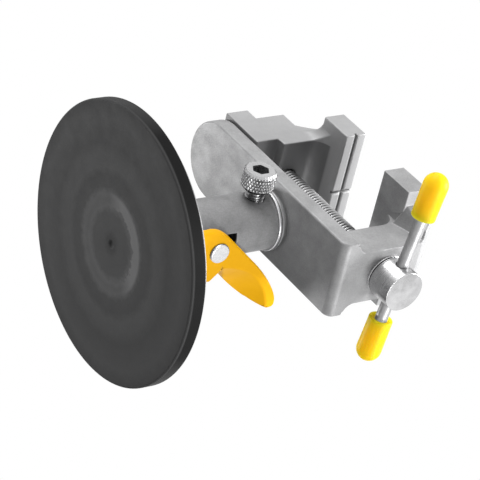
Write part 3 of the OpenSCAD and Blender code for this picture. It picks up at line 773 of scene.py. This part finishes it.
def grooved_jaw():
    """The smooth casting, with painted shade in the grooves of the clamping face and under the jaw.
    """
    material = cast_finish("cast_metal_grooved", 0.42, 0.36, 4200.0, 0.008 * MM, 0.42)
    tree = material.node_tree
    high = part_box("moving_jaw")[1]
    level = off_middle(tree, coordinate(tree, "Z"), high.z - JAW_HEIGHT / 2)
    upright = off_middle(tree, coordinate(tree, "Y"))
    nearest = maths(tree, "MINIMUM", level, upright)
    outside_groove_shade = spread(tree, nearest, GROOVE_WIDTH * 0.15, GROOVE_WIDTH * 0.4)
    on_face = spread(tree, coordinate(tree, "X"), high.x - 0.12 * MM, high.x - 0.05 * MM)
    behind = spread(tree, coordinate(tree, "X"), high.x - 0.8 * MM, high.x - 0.9 * MM)
    # Painted shade inside the two grooves of the clamping face.
    darken(tree, highest_of(tree, highest_of(tree, on_face, behind), outside_groove_shade), 0.08)
    foot = high.z - JAW_HEIGHT
    above = spread(tree, coordinate(tree, "Z"), foot - 0.1 * MM, foot)
    side = spread(tree, upright, BODY_HALF - 0.2 * MM, BODY_HALF)
    # Painted shade on the body under the jaw.
    darken(tree, highest_of(tree, above, side), 0.19)
    return material


jaw_cast = grooved_jaw()
print("finish:", jaw_cast.name)

# %% [markdown]
# The frame's plate has rounder edges than the blocks that stand on it, so it is bevelled in two
# goes, below and above the level where the moving jaw starts.

# %% Frame, jaw and base
PLATE_ROUNDING = 0.6 * MM
BLOCK_ROUNDING = 0.25 * MM
plate_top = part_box("moving_jaw")[0].z
frame_shape = merged("vise_frame")
round_edges(frame_shape, PLATE_ROUNDING, where=lambda middle: middle.z < plate_top)
round_edges(frame_shape, BLOCK_ROUNDING, where=lambda middle: middle.z > plate_top)
frame_shape = kept_inside(frame_shape, "vise_frame")
show("vise_frame_rounded", frame_shape, cast_rough, "head", ("vise_frame",))
rounded("moving_jaw", jaw_cast, 0.35 * MM)
rounded("base_casting", cast_bored, 0.25 * MM)

# %% [markdown]
# Only the lever's outer edges are rounded, because its fork runs close past the post. Its yellow
# would tint the grey casting beside it more than in the photograph, so it sends no coloured light
# on to the other pieces.

# %% Lever
OUTER_EDGE = 7.0 * MM
lever_shape = merged("cam_lever")
round_edges(lever_shape, 0.5 * MM, where=lambda middle: abs(middle.x) > OUTER_EDGE)
lever_shape = kept_inside(lever_shape, "cam_lever")
lever = show("cam_lever_rounded", lever_shape, amber_paint, "lever", ("cam_lever",))
lever.visible_diffuse = lever.visible_glossy = False

# %% [markdown]
# ## Turned parts
# Washers, the handle bar and the lever's pin come off a lathe, where each edge is broken with a
# small chamfer. Round the thrust washer, halfway up, runs a painted dark line, painted shade as in
# a gap between two rings.

# %% Turned parts
washer_steel = steel_finish("washer_steel", 0.9, 0.8, 0.3, EVEN, 0.0005 * MM)
thrust_low, thrust_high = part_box("thrust_washer")
tree = washer_steel.node_tree
from_line = off_middle(tree, coordinate(tree, "Z"), (thrust_low.z + thrust_high.z) / 2)
# Painted shade: a dark line halfway up the thrust washer.
darken(tree, spread(tree, from_line, 0.08 * MM, 0.16 * MM), 0.1)
rounded("thrust_washer", washer_steel, 0.2 * MM)
rounded("head_washer", plated_steel, 0.12 * MM)
rounded("tommy_bar", drawn_steel, 0.3 * MM, ())
rounded("lever_pin", plated_steel, 0.25 * MM, ())

# %% [markdown]
# ## Suction pad
# The pad is moulded rubber with a soft edge and a dimple in the middle of its face. Spinning one
# half of its section round the post makes the whole pad in one piece.

# %% Spinning helpers
def polyline(shape, points):
    """A chain of edges through the points; returns its vertices."""
    verts = [shape.verts.new(p) for p in points]
    for first, second in zip(verts, verts[1:]):
        shape.edges.new((first, second))
    return verts


def spun(points, steps):
    """Turns (radius, height) points into a closed ring or solid about the Z axis."""
    shape = bmesh.new()
    profile = polyline(shape, [(r, 0, z) for r, z in points])
    chain = list({e for v in profile for e in v.link_edges})
    bmesh.ops.spin(
        shape, geom=profile + chain, cent=(0, 0, 0), axis=(0, 0, 1), angle=math.tau,
        steps=steps, use_merge=True, use_duplicate=False,
    )
    bmesh.ops.remove_doubles(shape, verts=shape.verts, dist=MERGE)
    bmesh.ops.recalc_face_normals(shape, faces=shape.faces)
    return shape


def corner(r, z, radius, start, end, steps=5):
    """Points of a rounded corner, from one angle to another, about a centre."""
    angles = [math.radians(start + (end - start) * i / steps) for i in range(steps + 1)]
    return [(r + radius * math.cos(a), z + radius * math.sin(a)) for a in angles]


# %% Suction pad
BOSS_RADIUS = 13.0 * MM
PAD_LIP = 0.5 * MM
PAD_SHOULDER = 0.5 * MM
DIMPLE_RADIUS = 1.3 * MM
DIMPLE_DEPTH = 0.5 * MM
PAD_STEPS = 144
boss_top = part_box("suction_pad")[1].z
pad_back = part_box("base_casting")[0].z
pad = spun(
    [(0, DIMPLE_DEPTH), (DIMPLE_RADIUS * 0.6, DIMPLE_DEPTH * 0.7), (DIMPLE_RADIUS, 0)]
    + corner(pad_edge - PAD_LIP, PAD_LIP, PAD_LIP, -90, 0)
    + corner(pad_edge - PAD_SHOULDER, pad_back - PAD_SHOULDER, PAD_SHOULDER, 0, 90)
    + [(BOSS_RADIUS, pad_back), (BOSS_RADIUS, boss_top), (0, boss_top)],
    PAD_STEPS,
)
show("pad_rubber", pad, rubber, "base", ("suction_pad",))

# %% [markdown]
# ## Return spring
# A compression spring is one round wire wound on a helix, with an end coil laid flat against its
# neighbour at each end. Each stretch is one spin with its own climb. The spring shortens as the
# plunger rises.

# %% Return spring
WIRE = 0.8 * MM
WIRE_SIDES = 14
COIL_STEPS = 40
OPEN_COILS = 4.0
FLAT_CLIMB = 1.06 * WIRE
spring_low, spring_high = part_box("return_spring")
spring_height = spring_high.z - spring_low.z
open_climb = spring_height - WIRE - 2 * FLAT_CLIMB
wire_start = Matrix.Translation((spring_high.x - WIRE / 2, 0, spring_low.z + WIRE / 2))
spring = bmesh.new()
section = bmesh.ops.create_circle(
    spring, segments=WIRE_SIDES, radius=WIRE / 2,
    matrix=wire_start @ Matrix.Rotation(math.radians(90), 4, "X"),
)["verts"]
section = section + list({e for v in section for e in v.link_edges})
for turns, climb in ((1.0, FLAT_CLIMB), (OPEN_COILS, open_climb), (1.0, FLAT_CLIMB)):
    steps = round(COIL_STEPS * turns)
    section = bmesh.ops.spin(
        spring, geom=section, cent=(0, 0, 0), axis=(0, 0, 1), angle=math.tau * turns, steps=steps,
        dvec=(0, 0, climb / steps), use_duplicate=False,
    )["geom_last"]
bmesh.ops.holes_fill(spring, edges=[e for e in spring.edges if e.is_boundary])
bmesh.ops.recalc_face_normals(spring, faces=spring.faces)
spring_piece = show(
    "return_spring_wound", spring, spring_steel, "base", ("return_spring",)
)
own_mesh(spring_piece)

# %% [markdown]
# ## Threads
# A thread is one tooth swept along a helix. Spin does that in one call when it is given a step
# along the axis as well as a turn: after a full turn each tooth lands on its neighbour, so merging
# the doubles closes the surface. Two planes then trim the ragged ends.

# %% Flat cut
def cut_flat(shape, place, direction):
    """Cuts off what lies beyond a plane, in the given direction, and closes the cut."""
    bmesh.ops.bisect_plane(
        shape, geom=shape.verts[:] + shape.edges[:] + shape.faces[:], dist=MERGE / 10,
        plane_co=place, plane_no=direction, clear_outer=True,
    )
    bmesh.ops.holes_fill(shape, edges=[e for e in shape.edges if e.is_boundary])


# %% Threaded rod
THREAD_STEPS = 28
THREAD_DEPTH = 0.61
SPARE_TURNS = 3
TOOTH = ((0, 0.0), (0, 0.12), (1, 0.44), (1, 0.56), (0, 0.88), (0, 1.0))


def threaded_rod(radius, pitch, start, end):
    """A closed threaded rod along +Z from start to end."""
    shape = bmesh.new()
    root = radius - THREAD_DEPTH * pitch
    first = start - SPARE_TURNS / 2 * pitch
    turns = math.ceil((end - start) / pitch) + SPARE_TURNS
    profile = polyline(shape, [
        (radius if on_crest else root, 0, first + share * pitch) for on_crest, share in TOOTH
    ])
    chain = list({e for v in profile for e in v.link_edges})
    bmesh.ops.spin(
        shape, geom=profile + chain, cent=(0, 0, 0), axis=(0, 0, 1), angle=math.tau * turns,
        steps=THREAD_STEPS * turns, dvec=(0, 0, pitch / THREAD_STEPS), use_duplicate=False,
    )
    bmesh.ops.remove_doubles(shape, verts=shape.verts, dist=MERGE)
    cut_flat(shape, (0, 0, start), (0, 0, -1))
    cut_flat(shape, (0, 0, end), (0, 0, 1))
    bmesh.ops.recalc_face_normals(shape, faces=shape.faces)
    return shape

# %% [markdown]
# ## Lead screw
# The head and the plain neck keep the construction model's shape, with rounded edges round the
# hole for the bar. The long shank gets a real M6 thread, which passes through the moving jaw.

# %% Measures of the screw and the bar
SCREW_PITCH = 1.0 * MM
SCREW_RADIUS = 3.0 * MM
NECK_LENGTH = 1.0 * MM
washer_low, washer_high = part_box("head_washer")
bar_low, bar_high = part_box("tommy_bar")
upper_low, upper_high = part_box("bar_cap_upper")
lower_low, lower_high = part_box("bar_cap_lower")
axis_height = (washer_low.z + washer_high.z) / 2
neck_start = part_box("screw_circlip")[0].x - NECK_LENGTH
bar_radius = (bar_high.x - bar_low.x) / 2
bar_run = ((upper_low + upper_high) / 2 - (lower_low + lower_high) / 2).normalized()
print("screw axis height in mm:", round(axis_height / MM, 2), "bar runs along:", tuple(bar_run))

# %% [markdown]
# Three places on the screw are painted dark, as painted shade: the roots of the thread, the edge of
# the hole for the bar, and the narrow gap between the washer and the head. The last two masks leave
# the shank alone, and the first leaves the head alone.

# %% Screw finish
thread_steel = steel_finish("thread_steel", 0.60, 0.40, 0.26, ACROSS_X, 0.003 * MM)
tree = thread_steel.node_tree
from_screw = from_axis(tree, (0, 0, axis_height), (1, 0, 0))
crest = spread(tree, from_screw, SCREW_RADIUS - 0.5 * MM, SCREW_RADIUS - 0.1 * MM)
on_head = spread(tree, coordinate(tree, "X"), neck_start - 0.1 * MM, neck_start)
# Painted shade in the roots of the thread.
darken(tree, highest_of(tree, crest, on_head), 0.03)
on_shank = spread(tree, coordinate(tree, "X"), neck_start + 1.5 * MM, neck_start + 1.0 * MM)
from_bar = from_axis(tree, (bar_low + bar_high) / 2, bar_run)
off_hole = spread(tree, from_bar, bar_radius + 0.08 * MM, bar_radius + 0.35 * MM)
# Painted shade round the hole for the bar.
darken(tree, highest_of(tree, off_hole, on_shank), 0.02)
gap_end = washer_high.x + 0.35 * MM
off_washer = spread(tree, coordinate(tree, "X"), gap_end, gap_end + 0.1 * MM)
# Painted shade in the gap between the washer and the head.
darken(tree, highest_of(tree, off_washer, on_shank), 0.03)
print("finish:", thread_steel.name)

# %% Joining helper
def joined(*shapes):
    """One bmesh that holds several, each closed by itself."""
    whole = bmesh.new()
    for part in shapes:
        mesh = bpy.data.meshes.new("part")
        part.to_mesh(mesh)
        part.free()
        whole.from_mesh(mesh)
        bpy.data.meshes.remove(mesh)
    return whole


# %% Head and thread
head = merged("lead_screw")
cut_flat(head, (neck_start, 0, 0), (-1, 0, 0))
round_edges(head, 0.15 * MM)
thread = threaded_rod(SCREW_RADIUS, SCREW_PITCH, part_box("lead_screw")[0].x, neck_start)
along_screw = Matrix.Translation((0, 0, axis_height)) @ Matrix.Rotation(math.radians(90), 4, "Y")
bmesh.ops.transform(thread, matrix=along_screw, verts=thread.verts)
screw = joined(head, thread)
show("lead_screw_threaded", screw, thread_steel, "screw", ("lead_screw",))

# %% [markdown]
# ## Clamp screw
# The swivel is locked by a socket cap screw. Its head carries a diamond knurl: two sets of fine
# grooves that wind round it in opposite ways. The side is spun as a fine grid and each vertex is
# then pushed in where a groove passes. The socket is a hexagon bridged to the round top.

# %% Knurled head
HEAD_HEIGHT = 5.4 * MM
TOP_CHAMFER = 0.6 * MM
FOOT_CHAMFER = 0.96 * MM
SOCKET_RIM = 2.64 * MM
KNURLS = 34
KNURL_ROWS = 36
KNURL_DEPTH = 0.3 * MM
KNURL_PITCH = 0.85 * MM
GROOVE_HALF = 0.26
clamp_low, clamp_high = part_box("clamp_screw")
clamp_height = (clamp_low.z + clamp_high.z) / 2
head_radius = (clamp_high.z - clamp_low.z) / 2
head_top = -clamp_low.y
head_foot = head_top - HEAD_HEIGHT
band_foot = head_foot + FOOT_CHAMFER
band = head_top - TOP_CHAMFER - band_foot
side = [(head_radius, band_foot + band * i / KNURL_ROWS) for i in range(KNURL_ROWS + 1)]
cap = spun(
    [(SOCKET_RIM, head_top), (head_radius - TOP_CHAMFER, head_top)] + side[::-1]
    + [(head_radius - FOOT_CHAMFER, head_foot), (0, head_foot)],
    KNURLS * 4,
)
for vert in cap.verts:
    out = math.hypot(vert.co.x, vert.co.y)
    if out > head_radius - MERGE:
        turn = math.atan2(vert.co.y, vert.co.x) / math.tau * KNURLS
        rise = vert.co.z / KNURL_PITCH
        nearest = min(abs((turn + way * rise) % 1.0 - 0.5) for way in (0.5, -0.5))
        push = KNURL_DEPTH * max(0.0, 1.0 - nearest / GROOVE_HALF)
        vert.co.xy *= (out - push) / out
print("knurled head radius in mm:", round(head_radius / MM, 2), "faces:", len(cap.faces))

# %% [markdown]
# The socket starts as a hexagon in the middle of the top. It is bridged to the round edge that the
# spin left open, drawn down, and closed at the bottom.

# %% Socket
SOCKET_ACROSS = 4.0 * MM
SOCKET_DEPTH = 2.8 * MM
rim = [e for e in cap.edges if e.is_boundary]
hexagon = bmesh.ops.create_circle(
    cap, segments=6, radius=SOCKET_ACROSS / 2 / math.cos(math.radians(30)),
    matrix=Matrix.Translation((0, 0, head_top)),
)
hex_edges = list({e for v in hexagon["verts"] for e in v.link_edges})
bmesh.ops.bridge_loops(cap, edges=rim + hex_edges)
wall = bmesh.ops.extrude_edge_only(cap, edges=hex_edges)
floor_verts = [v for v in wall["geom"] if isinstance(v, bmesh.types.BMVert)]
bmesh.ops.translate(cap, verts=floor_verts, vec=(0, 0, -SOCKET_DEPTH))
bmesh.ops.holes_fill(cap, edges=[e for e in cap.edges if e.is_boundary])
bmesh.ops.recalc_face_normals(cap, faces=cap.faces)
print("open edges left:", sum(e.is_boundary for e in cap.edges))

# %% [markdown]
# The knurl's grooves are painted dark between the crests, as painted shade. Inside the socket and
# on the shank the steel is painted darker, as painted shade. Both masks follow the distance from
# the screw's own axis, and both leave the top of the head alone.

# %% Knurled finish
SIDE_WALL = (1.4 * MM, 1.2 * MM)
knurled_steel = steel_finish("knurled_steel", 0.60, 0.44, 0.24, EVEN, 0.001 * MM)
tree = knurled_steel.node_tree
from_clamp = from_axis(tree, (0, 0, clamp_height), (0, 1, 0))
crest = spread(tree, from_clamp, head_radius - 0.8 * KNURL_DEPTH, head_radius)
inner = spread(tree, from_clamp, head_radius - SIDE_WALL[1], head_radius - SIDE_WALL[0])
on_end = spread(tree, coordinate(tree, "Y"), clamp_low.y + 0.7 * MM, clamp_low.y + 0.5 * MM)
# Painted shade in the knurl's grooves.
darken(tree, highest_of(tree, crest, highest_of(tree, inner, on_end)), 0.03)
outer = spread(tree, from_clamp, head_radius - SIDE_WALL[0], head_radius - SIDE_WALL[1])
# Painted shade inside the socket and on the shank.
darken(tree, highest_of(tree, outer, on_end), 0.28)
print("finish:", knurled_steel.name)

# %% Shank of the clamp screw
SHANK_RADIUS = 2.5 * MM
SHANK_PITCH = 0.8 * MM
HEAD_OVERLAP = 0.2 * MM
shank = threaded_rod(SHANK_RADIUS, SHANK_PITCH, -clamp_high.y, head_foot + HEAD_OVERLAP)
clamp = joined(cap, shank)
along_clamp = Matrix.Translation((0, 0, clamp_height)) @ Matrix.Rotation(math.radians(90), 4, "X")
bmesh.ops.transform(clamp, verts=clamp.verts, matrix=along_clamp)
show(
    "clamp_screw_knurled", clamp, knurled_steel, "clamp", ("clamp_screw",),
    smooth=24.0,
)

# %% [markdown]
# ## Handle caps
# The ends of the bar are dipped in vinyl, which leaves a smooth dome and a slightly rolled mouth.
# Each cap is spun along Z and then laid along the bar. Its radius at the mouth, just past it and
# halfway along is a share of the full one. Like the lever, a cap sends no coloured light on.

# %% Handle caps
CAP_LENGTH = 12.2 * MM
CAP_MOUTH = 0.35 * MM
CAP_BORE = 1.5 * MM
AT_MOUTH, PAST_MOUTH, HALFWAY = 0.97, 0.965, 0.985
cap_radius = (upper_high.x - upper_low.x) / 2


def dipped_cap(node, tip, outwards):
    """A vinyl cap whose dome's top is at tip and whose mouth faces away from outwards."""
    mouth = -CAP_LENGTH
    cap = spun(
        [(bar_radius, mouth + CAP_BORE), (bar_radius, mouth + CAP_MOUTH)]
        + corner(cap_radius * AT_MOUTH - CAP_MOUTH, mouth + CAP_MOUTH, CAP_MOUTH, -90, 0)
        + [(cap_radius * PAST_MOUTH, mouth + CAP_BORE), (cap_radius * HALFWAY, mouth / 2)]
        + corner(0, -cap_radius, cap_radius, 0, 90, 12),
        48,
    )
    turn = outwards.to_track_quat("Z", "X").to_matrix().to_4x4()
    bmesh.ops.transform(cap, verts=cap.verts, matrix=Matrix.Translation(tip) @ turn)
    piece = show(node + "_dipped", cap, cap_vinyl, "handle", (node,))
    piece.visible_diffuse = piece.visible_glossy = False


def cap_tip(low, high, outwards):
    """The top of a cap's dome: its box reaches one radius past the dome's centre."""
    centre = Vector((
        (low.x + high.x) / 2,
        (high.y if outwards.y > 0 else low.y) - math.copysign(cap_radius, outwards.y),
        (high.z if outwards.z > 0 else low.z) - math.copysign(cap_radius, outwards.z),
    ))
    return centre + outwards * cap_radius


dipped_cap("bar_cap_upper", cap_tip(upper_low, upper_high, bar_run), bar_run)
dipped_cap("bar_cap_lower", cap_tip(lower_low, lower_high, -bar_run), -bar_run)

# %% [markdown]
# ## Parts that stay as they are
# What is left is hidden inside the post or too small to show a rounded edge. These parts keep the
# construction model's shape and only get a finish.

# %% Finishes of the parts that stay as they are
KEPT = {
    "pad_insert": turned_steel, "cam_ring": plated_steel, "plunger_rod": turned_steel,
    "pin_retainer": spring_steel, "swivel_spigot": turned_steel,
    "spigot_screw": spring_steel, "screw_circlip": spring_steel,
}
for node, material in KEPT.items():
    NODES[node].data.materials.clear()
    NODES[node].data.materials.append(material)
print("parts that keep their shape:", len(KEPT))

# %% [markdown]
# ## Colour management
# The standard view transform keeps the greys as they were measured in the photograph.

# %% Colour management
bpy.context.scene.view_settings.view_transform = "Standard"
